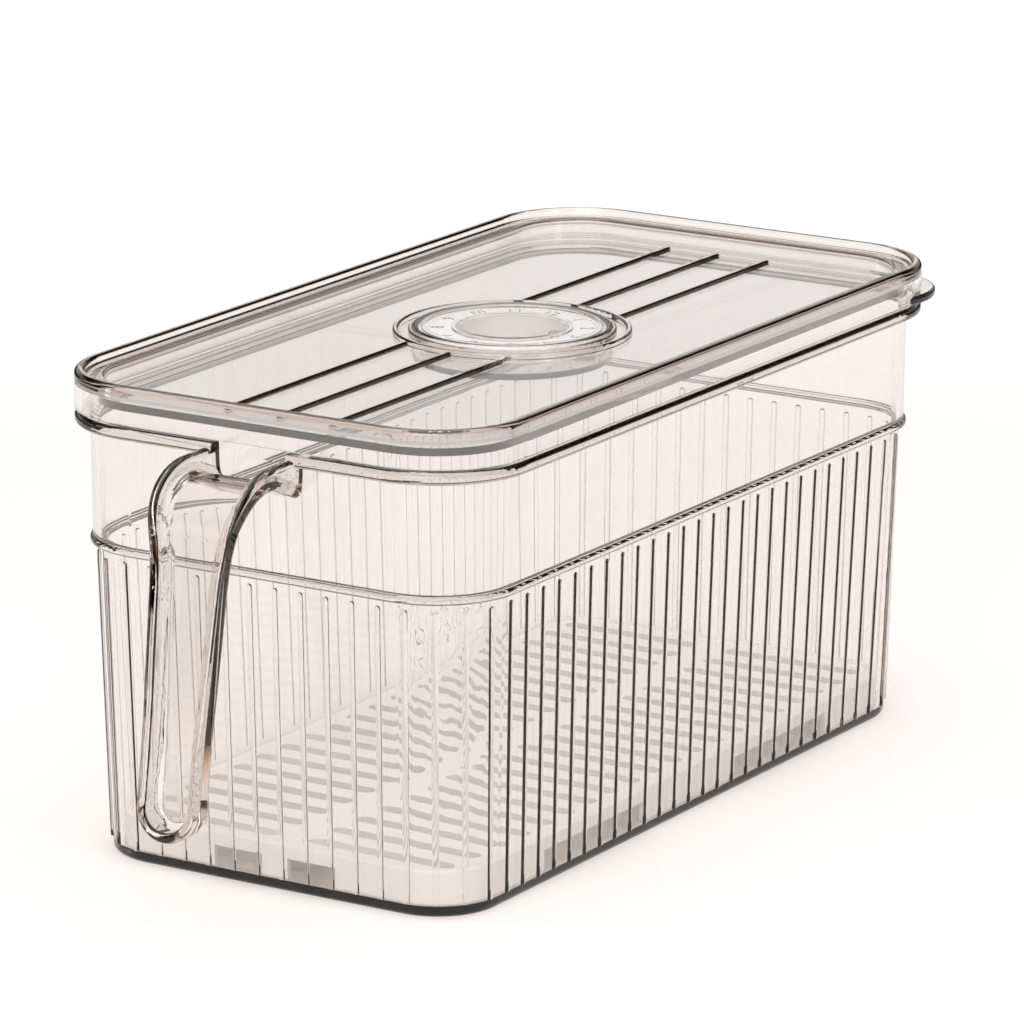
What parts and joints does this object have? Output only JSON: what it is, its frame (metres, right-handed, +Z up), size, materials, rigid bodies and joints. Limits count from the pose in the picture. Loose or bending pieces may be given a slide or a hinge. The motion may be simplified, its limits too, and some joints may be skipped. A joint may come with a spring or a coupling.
{
  "type": "fridge storage box",
  "caption": "Clear lidded fridge storage box with a hanging channel handle, fluted lower walls, a slotted white drain tray and a turning date dial sunk in the lid.",
  "frame": {"origin": "middle of the base, on the surface the box stands on", "axes": "+Z up; +Y along the box, away from the handle; +X across the box"},
  "size_m": [0.1362, 0.2974, 0.132],
  "materials": {
    "clear_body": "clear moulded plastic with a faint warm tint, polished",
    "clear_lid": "clear moulded plastic with a faint warm tint, polished",
    "clear_trim": "clear moulded plastic, polished",
    "white_tray": "white moulded plastic, soft sheen",
    "white_dial": "white moulded plastic, smooth"
  },
  "bodies": {
    "bin": {"bin": "clear_body"},
    "tray": {"drain_tray": "white_tray"},
    "lid": {"lid": "clear_lid", "dial_bezel": "clear_trim"},
    "dial": {"date_dial": "white_dial", "dial_grip_ring": "clear_trim"}
  },
  "joints": [
    {"name": "lid_lift", "type": "slide", "parent": "bin", "child": "lid", "axis": [0, 0, 1], "range_m": [0, 0.06]},
    {"name": "tray_lift", "type": "slide", "parent": "bin", "child": "tray", "axis": [0, 0, 1], "range_m": [0, 0.1]},
    {"name": "dial_turn", "type": "hinge", "parent": "lid", "child": "dial", "pos_m": [0, 0, 0.1272], "axis": [0, 0, 1], "continuous": true}
  ]
}
